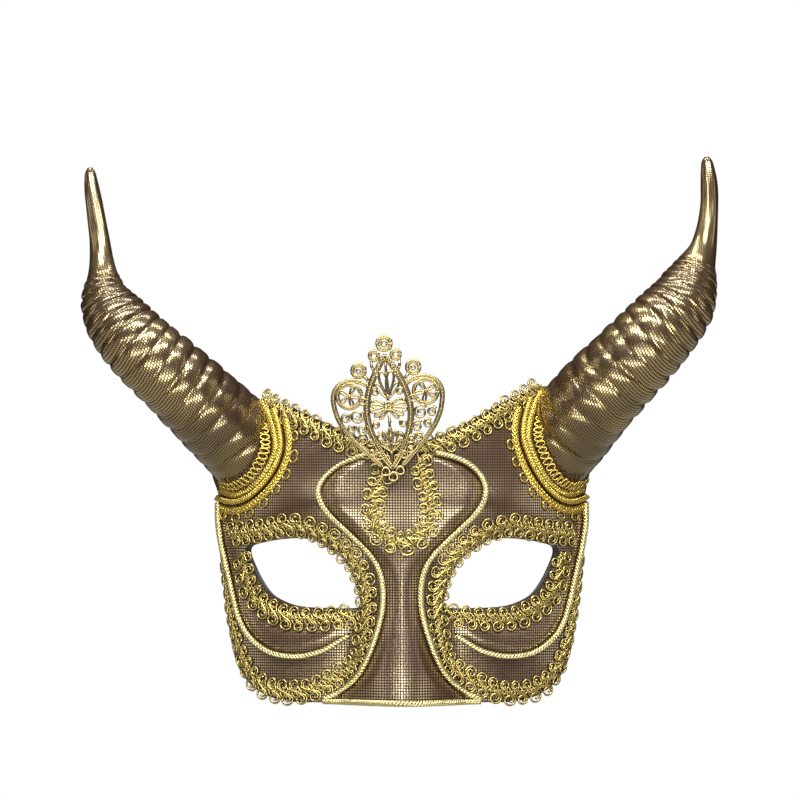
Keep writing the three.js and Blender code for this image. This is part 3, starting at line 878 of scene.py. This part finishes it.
THREAD_SIDES = 6
BRAID_PITCH = 6.2
CURL_OFFSET = 3.2
CURL_RADIUS = 2.3
CURL_EYE = 0.7
CURL_TURNS = 1.5
CURL_OPENING = 1.6
CURL_LEAVES = math.radians(235)
STRAND = 0.5
LEAF_REACH = 2.6
LEAF_SLANT = 0.55
LEAF_STRAND = 0.85 * STRAND
BRAID_LEAVES = (-0.33, 0.0, 0.33)
CORE_STRAND = 0.9 * STRAND
CORE_HALF = 0.9
CORE_END = 0.6
# How unevenly the braid is made: shares of a curl's radius, and shifts in millimetres.
CURL_UNEVEN = (0.88, 1.1)
SCROLL_UNEVEN = 0.25
THREAD_UNEVEN = 0.2
LIFT_UNEVEN = (-0.05, 0.2)


def curl(radius):
    """A curl round its centre, from its eye outwards, as (along, across)."""
    share = np.linspace(0, 1, 30)
    angle = CURL_LEAVES - TURN * CURL_TURNS * (1 - share)
    size = CURL_EYE + (radius - CURL_EYE) * np.minimum(1, share * CURL_OPENING)
    return np.stack([size * np.cos(angle), size * np.sin(angle)], axis=1)


def crossing(across, low, rise, width):
    """Height of a thread that climbs over the middle of the braid."""
    return low + rise * np.exp(-(across / width) ** 2)


def scroll(radius_a, radius_b):
    """One S-shaped element of the braid, as (along, across, height): a curl on each side."""
    first = curl(radius_a) + (0, CURL_OFFSET)
    second = -curl(radius_b)[::-1] + (BRAID_PITCH / 2, -CURL_OFFSET)
    line = np.vstack([first, second])
    joined = np.column_stack([line, crossing(line[:, 1], 0.6, 0.9, 1.8)])
    return curve_through(joined[::2], 3)


def leaf(shift):
    """One of the short slanted threads that fill the middle of the braid between its scrolls."""
    across = np.linspace(LEAF_REACH, -LEAF_REACH, 10)
    along = BRAID_PITCH / 4 + shift - across * LEAF_SLANT + 0.25 * np.sin(across * 1.2)
    return np.column_stack([along, across, crossing(across, 0.5, 0.75, 1.7)])


def beside(line, amount):
    """A flat line moved sideways by an amount."""
    ahead = unit(np.gradient(line, axis=0))
    return line + np.stack([ahead[:, 1], -ahead[:, 0]], axis=1) * amount


def make_braid(name, points, side, stands_for, widths=FULL_WIDTH):
    """Scroll gimp: S-shaped threads side by side, slanted threads between them and a plaited core."""
    route = Route(points, side)
    build = Build()
    reach = CURL_RADIUS + STRAND
    free = route.length - 2 * reach - BRAID_PITCH / 2
    number = int(free // BRAID_PITCH) + 1
    pitch = free / max(1, number - 1)

    def width_at(along):
        return np.interp(along / route.length, *zip(*widths))

    def thread(line, width, radius):
        placed_line = route.place(line[:, 0], line[:, 1] * width, line[:, 2])
        build.tube(placed_line, radius, THREAD_SIDES)

    for k in range(number):
        start = reach + k * pitch
        width = width_at(start)
        line = scroll(*(CURL_RADIUS * rng.uniform(*CURL_UNEVEN, 2)))
        line[:, 0] += start + rng.uniform(-SCROLL_UNEVEN, SCROLL_UNEVEN)
        line[:, 1] += rng.uniform(-THREAD_UNEVEN, THREAD_UNEVEN)
        line[:, 2] += rng.uniform(*LIFT_UNEVEN)
        thread(line, width, STRAND)
        for share in BRAID_LEAVES:
            line = leaf(share * BRAID_PITCH + rng.uniform(-THREAD_UNEVEN, THREAD_UNEVEN))
            line[:, 0] += start
            thread(line, width, LEAF_STRAND)
    along = np.arange(CORE_END, route.length - CORE_END, 0.45)
    for start in (0.0, 0.5):
        phase = TURN * (along / BRAID_PITCH * 2 + start)
        core = np.column_stack([along, CORE_HALF * np.sin(phase), 0.45 + 0.25 * np.cos(phase)])
        thread(core, width_at(along), CORE_STRAND)
    build.piece(name, "gold_braid", stands_for)


ROPE_STEP = 0.5
ROPE_PLIES = 3
PLY_SHARE = 0.46
PLY_SIDES = 7
CORD_RADIUS = 1.45
CORD_LAY = 4.8
CORD_END = 0.2


def add_rope(build, route, radius, start, end, lay):
    """A twisted cord of three plies, laid on the cloth. lay is the length of one turn."""
    along = np.arange(start, end, ROPE_STEP)
    ply = radius * PLY_SHARE
    for k in range(ROPE_PLIES):
        angle = TURN * (along / lay + k / ROPE_PLIES)
        across = (radius - ply) * np.cos(angle)
        height = radius + (radius - ply) * np.sin(angle)
        build.tube(route.place(along, across, height), ply, PLY_SIDES)


def make_cord(name, points, side, stands_for):
    route = Route(points, side)
    build = Build()
    add_rope(build, route, CORD_RADIUS, CORD_END, route.length - CORD_END, -CORD_LAY * side)
    build.piece(name, "gold_cord", stands_for)


PLAIT_STRANDS = 5
PLAIT_PITCH = 8.0
PLAIT_HALF = 1.5
BAND_EDGE = 1.8
PICOT_STRAND = 0.4
PICOT_START = 2
PICOT_END = 1.5
PICOT_UNEVEN = (0.9, 1.1)
# Distance between the loops of a band, their radius, and how steeply they rise off the cloth.
INNER_PICOTS = dict(pitch=3.4, size=1.4, lift=1.1)
OUTER_PICOTS = dict(pitch=7.0, size=1.9, lift=0.0)
RING_SPACING = 3.7
RING_CORD_RADIUS = 1.5
RING_CORD_LAY = 4.2
RING_INNER_START = 0.5
# Where the cord and the outer band start and where all three end, as shares of their route.
RING_CORD_START = 0.12
RING_OUTER_START = 0.2
RING_END = 0.98


def add_gimp(build, route, shift, start, end, picot_side, pitch, size, lift):
    """A flat plaited band with picot loops along one edge, which rise by lift away from the band."""
    along = np.arange(start, end, ROPE_STEP)
    for k in range(PLAIT_STRANDS):
        phase = TURN * (along / PLAIT_PITCH + k / PLAIT_STRANDS)
        across = shift + PLAIT_HALF * np.sin(phase)
        build.tube(route.place(along, across, 0.8 + 0.5 * np.cos(phase * 2)), STRAND, THREAD_SIDES)
    turn = np.linspace(0, TURN, 15)
    for middle in np.arange(start + PICOT_START, end - PICOT_END, pitch):
        loop = size * rng.uniform(*PICOT_UNEVEN)
        out = BAND_EDGE + loop * (0.8 + np.sin(turn))
        line = route.place(middle + loop * np.cos(turn), shift + picot_side * out, 0.5 + lift * out)
        build.tube(line, PICOT_STRAND, THREAD_SIDES)


def make_ring(name, side):
    """The three bands round a horn's base."""
    route = Route(HORN_RING, side)
    end = route.length * RING_END
    inner = Build()
    add_gimp(inner, route, side * RING_SPACING, RING_INNER_START, end, side, **INNER_PICOTS)
    middle = Build()
    add_rope(middle, route, RING_CORD_RADIUS, route.length * RING_CORD_START, end, RING_CORD_LAY * side)
    outer = Build()
    add_gimp(outer, route, -side * RING_SPACING, route.length * RING_OUTER_START, end, -side,
             **OUTER_PICOTS)
    for band, build, node in (("inner", inner, "inner"), ("middle", middle, "cord"),
                              ("outer", outer, "outer")):
        build.piece(f"ring_{band}_{name}", "ring_gimp", f"horn_ring_{node}_{name}")


def make_trims():
    for name, side in (("left", -1), ("right", 1)):
        for place, points, widths in (("eye_upper", EYE_UPPER, FULL_WIDTH),
                                      ("eye_lower", EYE_LOWER, FULL_WIDTH),
                                      ("cheek_edge", CHEEK_EDGE, CHEEK_EDGE_WIDTH)):
            make_braid(f"{place}_gimp_{name}", points, side, f"{place}_braid_{name}", widths)
        make_cord(f"nose_rope_{name}", NOSE_CORD, side, f"nose_cord_{name}")
        make_cord(f"cheek_rope_{name}", CHEEK_CORD, side, f"cheek_cord_{name}")
        make_ring(name, side)
    make_braid("top_edge_gimp", both_sides(HALF_TOP_BRAID, TOP_CENTRE), 1, "top_edge_braid")
    loop = both_sides(HALF_FOREHEAD_LOOP, FOREHEAD_LOOP_LOW)
    make_braid("forehead_loop_gimp", loop, 1, "forehead_loop_braid")
    make_cord("bottom_rope", both_sides(HALF_BOTTOM_CORD, BOTTOM_CORD_CENTRE), 1, "bottom_edge_cord")


# ---- filigree

FILIGREE_TILT = math.radians(4)
FILIGREE_LEAN = math.tan(math.radians(5))
FILIGREE_DOME = 2.4
DOME_HALF_WIDTH = 27
DOME_HALF_HEIGHT = 36
WIRE_WEIGHT = 1.4
WIRE_SIDES = 6
WIRE_SQUASH = 0.8
FINE_WIRE = 0.38
LEAF_TOP = 24.8
LEAF_BOTTOM = -28.0
LEAF_HALF = 11.0
LEAF_BORDER = 1.9
# The drawing of the ornament, as (x, y) on its own plate with y upwards.
LOBE_EDGE = [
    (9.0, 11.0), (11.4, 12.6), (14.7, 13.6), (18.9, 13.4), (22.7, 11.4), (24.9, 7.7), (25.0, 3.2),
    (23.5, -3.2), (20.4, -9.2), (16.1, -14.7), (11.6, -19.3), (4.6, -26.4),
]
# Scrolls in each lobe: x, y, radius and turns.
LOBE_SCROLLS = [
    (14.6, -2.6, 3.4, 1.5), (20.0, -2.8, 2.4, 1.3), (12.6, -8.9, 2.7, 1.4), (17.6, -8.0, 2.1, 1.3),
    (13.2, -14.0, 2.1, 1.3), (9.4, -15.0, 2.1, 1.3), (8.8, -19.6, 1.8, 1.3), (5.6, -21.6, 1.6, 1.0),
    (11.6, 4.0, 1.5, 1.0),
]
ROSETTE = (17.6, 6.8)
ROSETTE_PETALS = (0.5, 1.7, 2.9, 4.1, 5.3)
SIDE_LOOP = (12.6, 18.2)
UPPER_LOOP = (5.0, 24.6)
TOP_LOOP = (0, 30.0)
# Stems that hold the loops, and the radius of their wire.
LOOP_STEMS = [
    ([(8.4, 13.4), (10.6, 16.0)], 0.55),
    ([(6.4, 22.8), (6.5, 19.8), (5.4, 17.2)], 0.5),
    ([(3.2, 27.4), (2.0, 28.2)], 0.5),
]
# Scrolls on each side inside the leaf: x, y and radius.
LEAF_SCROLLS = [(6.4, -7.2, 1.8), (5.8, 8.0, 1.9), (4.4, -12.6, 2.0), (6.9, 3.2, 1.2), (3.2, 19.6, 0.9)]
# Drops on each side of the leaf's middle line: y of the foot, length, width, lean, wire and height.
LEAF_DROPS = [
    (5.5, 12.0, 2.3, -0.2, 0.46, 0.2), (4.5, 9.0, 1.4, -0.62, 0.42, 0.1),
    (0.5, 7.6, 1.0, -1.05, 0.38, 0.12), (0.5, 8.4, 1.0, -1.4, 0.38, 0.12),
    (0.5, 8.4, 1.0, -1.75, 0.38, 0.12), (0.5, 7.6, 1.0, -2.1, 0.38, 0.12),
    (0.5, 6.6, 1.0, -2.45, 0.38, 0.12), (-20.5, 10.5, 1.5, -0.3, 0.44, 0.15),
    (-20.0, 8.0, 1.3, -0.72, 0.42, 0.1),
]
LEAF_STEMS = [[(0, 24.0), (0, 12)], [(0, 5.0), (0, -24.0)]]
LEAF_BOW = [(-5.2, -15.8), (-2.4, -16.8), (0, -16.2), (2.4, -16.8), (5.2, -15.8)]
LEAF_BEADS = (1.2, 5.6, -6.0, -9.4, -12.8, -20.5, 20.0)
DROP_WIRE = 0.42
EYELET_WIRE = 0.36


def circle(x, y, radius, start=0.0, turns=1.0, end_radius=None):
    """A circle, or a spiral if it ends at another radius."""
    share = np.linspace(0, 1, max(14, int(30 * abs(turns))))
    size = radius + ((radius if end_radius is None else end_radius) - radius) * share
    angle = start + TURN * turns * share
    return np.stack([x + size * np.cos(angle), y + size * np.sin(angle)], axis=1)


def teardrop(x, y, length, width, lean):
    """A drop that stands on its point at (x, y) and leans anticlockwise."""
    share = np.linspace(0, TURN, 22)
    u = width * np.sin(share) * np.sin(share / 2) ** 1.2
    v = length * (1 - np.cos(share)) / 2
    return np.stack([x + u * math.cos(lean) - v * math.sin(lean),
                     y + u * math.sin(lean) + v * math.cos(lean)], axis=1)


class Filigree(Build):
    """Wires and beads drawn flat and laid on the ornament's domed, tilted plate."""

    def __init__(self):
        super().__init__()
        low, high = (np.array(corner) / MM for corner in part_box("filigree_ornament"))
        self.centre = (low + high) / 2

    def plate(self, flat, height):
        """From the ornament's own flat drawing to its place."""
        flat = np.atleast_2d(np.asarray(flat, float))
        u, v = flat[:, 0], flat[:, 1]
        dome = FILIGREE_DOME * np.clip(1 - (u / DOME_HALF_WIDTH) ** 2 - (v / DOME_HALF_HEIGHT) ** 2, 0, 1)
        x = self.centre[0] + u * math.cos(FILIGREE_TILT) - v * math.sin(FILIGREE_TILT)
        z = self.centre[2] + u * math.sin(FILIGREE_TILT) + v * math.cos(FILIGREE_TILT)
        return np.stack([x, self.centre[1] + FILIGREE_LEAN * v - dome - height, z], axis=1)

    def wire(self, flat, radius=0.5, height=0.0):
        self.tube(self.plate(flat, height), radius * WIRE_WEIGHT, WIRE_SIDES, WIRE_SQUASH)

    def ball(self, flat, height, radius):
        self.bead(self.plate(flat, height)[0], radius)

    def beads(self, flat, spacing, radius):
        steps = distances(flat)
        for at in np.arange(0, steps[-1], spacing):
            self.ball([np.interp(at, steps, flat[:, 0]), np.interp(at, steps, flat[:, 1])], 0.3, radius)

    def rope(self, flat, half, bead):
        """A milled edge: beads between two fine wires."""
        self.wire(beside(flat, half), FINE_WIRE)
        self.wire(beside(flat, -half), FINE_WIRE)
        self.beads(flat, bead * 1.75, bead)

    def leaf_edge(self, side):
        """Half of the leaf that frames the ornament: a row of beads between two wires."""
        share = np.linspace(0, 1, 60)
        height = LEAF_TOP + (LEAF_BOTTOM - LEAF_TOP) * share
        bow = np.sin(math.pi * share)
        edge = np.stack([side * LEAF_HALF * bow ** 0.85, height], axis=1)
        within = np.stack([side * (LEAF_HALF - LEAF_BORDER) * bow ** 0.95, height * 0.93], axis=1)
        self.wire(edge)
        self.wire(within, 0.4)
        self.beads((edge + within) / 2, 1.2, 0.62)

    def lobe(self, side):
        """A side lobe with its rosette and scrolls."""
        self.rope(curve_through([(side * x, y) for x, y in LOBE_EDGE], 8), 0.62, 0.5)
        x, y = ROSETTE
        self.rope(circle(side * x, y, 5.5, 0.0, side), 0.5, 0.42)
        for lean in ROSETTE_PETALS:
            self.wire(teardrop(side * x, y, 5.0, 1.0, side * lean), EYELET_WIRE, 0.15)
        self.ball((side * x, y), 0.5, 1.0)
        for x, y, size, turns in LOBE_SCROLLS:
            end_size = size * (0.3 if turns > 1 else 1)
            self.wire(circle(side * x, y, size, 0.6, side * turns, end_size), 0.42, 0.1)
            self.ball((side * x, y), 0.3, 0.5)

    def loops(self, side):
        """The roped loops on top of one side, their stems, and the eyelet at the foot."""
        x, y = SIDE_LOOP
        self.rope(circle(side * x, y, 2.8, 0.0, side), 0.5, 0.42)
        self.wire(circle(side * x, y, 0.9), EYELET_WIRE)
        x, y = UPPER_LOOP
        self.rope(circle(side * x, y, 1.9, 0.0, side), 0.45, 0.36)
        for stem, radius in LOOP_STEMS:
            self.wire([(side * x, y) for x, y in stem], radius)
        self.wire(circle(side * 3.3, -28.8, 1.8))

    def leaf_side(self, side):
        """Palmettes, sprays and small scrolls inside one half of the leaf."""
        for foot, length, width, lean, radius, height in LEAF_DROPS:
            self.wire(teardrop(0, foot, length, width, side * lean), radius, height)
        self.wire(circle(side * 4.4, 16.6, 1.5, 0.4, side * 1.4, 0.5), EYELET_WIRE, 0.1)
        for x, y, size in LEAF_SCROLLS:
            self.wire(circle(side * x, y, size, 2.2, side * 1.4, size * 0.35), FINE_WIRE, 0.1)
        self.wire(circle(side * 2.2, -22.8, 1.2), EYELET_WIRE)

    def middle(self):
        """What stands on the middle line: the top loop, the stems and their beads."""
        self.rope(circle(*TOP_LOOP, 3.0), 0.5, 0.42)
        self.wire(circle(*TOP_LOOP, 1.2), EYELET_WIRE)
        self.wire(circle(0, -31.4, 1.9))
        for stem in LEAF_STEMS:
            self.wire(stem, DROP_WIRE)
        self.wire(teardrop(0, -20.5, 11.0, 1.1, 0.0), DROP_WIRE, 0.2)
        self.wire(circle(0, 1.2, 1.9), 0.45, 0.3)
        self.wire(LEAF_BOW, DROP_WIRE, 0.15)
        for height in LEAF_BEADS:
            self.ball((0, height), 0.6, 0.95)


def make_filigree():
    drawing = Filigree()
    for side in (-1, 1):
        drawing.leaf_edge(side)
        drawing.lobe(side)
        drawing.loops(side)
        drawing.leaf_side(side)
    drawing.middle()
    drawing.piece("filigree", "filigree_metal", "filigree_ornament")


# ---- CAD pieces that stay

def finish_cad_pieces():
    kept = {"mask_shell": "shell_plastic", "ribbon_anchor_left": "anchor_plastic",
            "ribbon_anchor_right": "anchor_plastic", "horn_core_left": "horn_foam",
            "horn_core_right": "horn_foam"}
    for name, material in kept.items():
        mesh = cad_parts[name].data
        mesh.materials.clear()
        mesh.materials.append(MATERIALS[material])


# ---- studio

VIEW_WIDTH = 0.368
CAMERA_DISTANCE = 6.0
SENSOR = 0.036
CAMERA_ACROSS = -0.0009
CAMERA_HEIGHT = 0.0805
FLOOR = -0.32
FLOOR_HALF = 4.0
AIM = Vector((0, 0.02, 0.06))
WHITE = (1.0, 1.0, 1.0)
CREAM = (1.0, 0.93, 0.82)
# Place, size in metres, power in watts and colour of each softbox.
SOFTBOXES = {
    "side_left": ((-1.3, -0.25, 0.30), (0.5, 0.9), 1.3, WHITE),
    "side_right": ((1.3, -0.25, 0.30), (0.5, 0.9), 1.3, WHITE),
    "top": ((0.0, -0.65, 1.0), (1.5, 0.28), 20, WHITE),
    "overhead": ((0.0, 0.15, 1.2), (1.5, 0.25), 9, WHITE),
    "nose_strip": ((0.05, -1.35, 1.05), (0.20, 0.8), 4.5, WHITE),
    "front_key": ((-0.12, -1.7, 0.34), (0.32, 0.24), 0.3, WHITE),
    "front_fill": ((0.0, -1.6, -0.1), (1.6, 0.7), 2.6, WHITE),
    "cheek_key": ((0.0, -1.3, -0.22), (1.5, 0.24), 4.0, WHITE),
    "low_fill": ((0.0, -1.0, -0.26), (1.4, 0.2), 4, CREAM),
}
# Brightness of the room in reflections and on surfaces, from straight down to straight up.
ROOM_LEVELS = (
    (0.0, 0.5), (0.30, 0.45), (0.42, 0.02), (0.60, 0.01), (0.70, 0.03), (0.85, 0.08), (1.0, 0.12),
)
ROOM_GREEN = 0.96
ROOM_BLUE = 0.9


def make_camera():
    camera = bpy.data.cameras.new("camera")
    camera.sensor_width = SENSOR / MM
    camera.lens = SENSOR / MM * CAMERA_DISTANCE / VIEW_WIDTH
    holder = add_object("camera", camera)
    holder.location = (CAMERA_ACROSS, -CAMERA_DISTANCE, CAMERA_HEIGHT)
    holder.rotation_euler = (math.pi / 2, 0, 0)
    bpy.context.scene.camera = holder


def make_softbox(name, place, size, power, colour):
    light = bpy.data.lights.new(name, "AREA")
    light.shape = "RECTANGLE"
    light.size, light.size_y = size
    light.energy = power
    light.color = colour
    holder = add_object(name, light)
    holder.location = place
    holder.visible_camera = False
    holder.rotation_euler = (AIM - Vector(place)).to_track_quat("-Z", "Y").to_euler()


def make_floor():
    """A pale floor that the camera sees, and that neither lights the object nor shows in its gloss."""
    mesh = bpy.data.meshes.new("floor")
    corners = [(x * FLOOR_HALF, y * FLOOR_HALF, FLOOR) for x, y in ((-1, -1), (1, -1), (1, 1), (-1, 1))]
    mesh.from_pydata(corners, [], [(0, 1, 2, 3)])
    made = Nodes("floor")
    made.set(Base_Color=(0.3, 0.3, 0.3, 1), Roughness=0.9)
    made.set(Emission_Color=(1, 1, 1, 1), Emission_Strength=0.6)
    mesh.materials.append(made.owner)
    floor = add_object("floor", mesh)
    floor.visible_glossy = False
    floor.visible_diffuse = False


def make_world():
    """A white room to the eye; what lights and mirrors in the object is dark level with it."""
    made = Nodes("studio", "worlds")
    split = made.node("ShaderNodeSeparateXYZ")
    made.link(made.node("ShaderNodeTexCoord").outputs["Generated"], split.inputs[0])
    ramp = made.node("ShaderNodeValToRGB")
    for place, _ in ROOM_LEVELS[1:-1]:
        ramp.color_ramp.elements.new(place)
    for element, (place, level) in zip(ramp.color_ramp.elements, ROOM_LEVELS):
        element.position = place
        element.color = (level, level * ROOM_GREEN, level * ROOM_BLUE, 1)
    made.link(made.between(split.outputs[2], 0.0, 1.0, -1.0, 1.0), ramp.inputs[0])
    lit = made.tree.nodes["Background"]
    made.link(ramp.outputs[0], lit.inputs["Color"])
    white = made.node("ShaderNodeBackground", Color=(1, 1, 1, 1))
    choice = made.node("ShaderNodeMixShader")
    made.link(made.node("ShaderNodeLightPath").outputs["Is Camera Ray"], choice.inputs[0])
    made.link(lit.outputs[0], choice.inputs[1])
    made.link(white.outputs[0], choice.inputs[2])
    made.link(choice.outputs[0], made.tree.nodes["World Output"].inputs["Surface"])
    bpy.context.scene.world = made.owner


def make_studio():
    make_floor()
    make_world()
    for name, (place, size, power, colour) in SOFTBOXES.items():
        make_softbox(name, place, size, power, colour)
    bpy.context.scene.view_settings.view_transform = "Standard"


make_camera()
make_studio()
make_face()
for horn in HORN_LINES:
    make_horn(horn)
make_trims()
make_filigree()
finish_cad_pieces()
